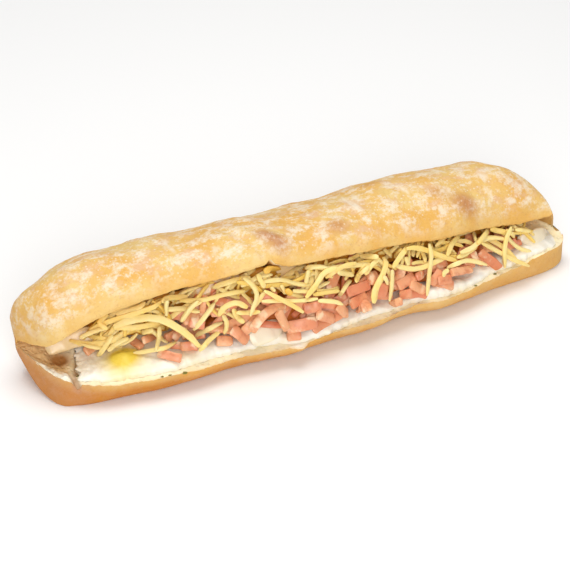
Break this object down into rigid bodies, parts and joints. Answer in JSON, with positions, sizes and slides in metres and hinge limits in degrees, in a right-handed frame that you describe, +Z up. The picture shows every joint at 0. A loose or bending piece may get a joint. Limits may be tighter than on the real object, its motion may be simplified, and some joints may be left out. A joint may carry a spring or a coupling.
{
  "type": "submarine sandwich",
  "caption": "Submarine sandwich: a floured crusty roll, slit along one side, filled with cream cheese, ham strips, grated cheese and onion.",
  "frame": {"origin": "on the ground under the middle of the roll's length and of its width at mid length", "axes": "+X along the roll, +Z up, -Y out of the open side"},
  "size_m": [0.2746, 0.0734, 0.0611],
  "materials": {
    "crust": "dry baked crust, floured, with a pale crumb on the cut faces",
    "cream": "soft cream cheese, slightly moist",
    "ham": "moist cooked ham",
    "cheese": "waxy grated cheese",
    "onion": "wet, slightly clear slices"
  },
  "bodies": {
    "root": {"roll": "crust", "cream": "cream", "ham": "ham", "ham_2": "ham", "ham_3": "ham", "ham_4": "ham", "cheese": "cheese", "onion_1": "onion", "onion_2": "onion", "onion_3": "onion", "onion_4": "onion", "onion_5": "onion"}
  },
  "joints": []
}
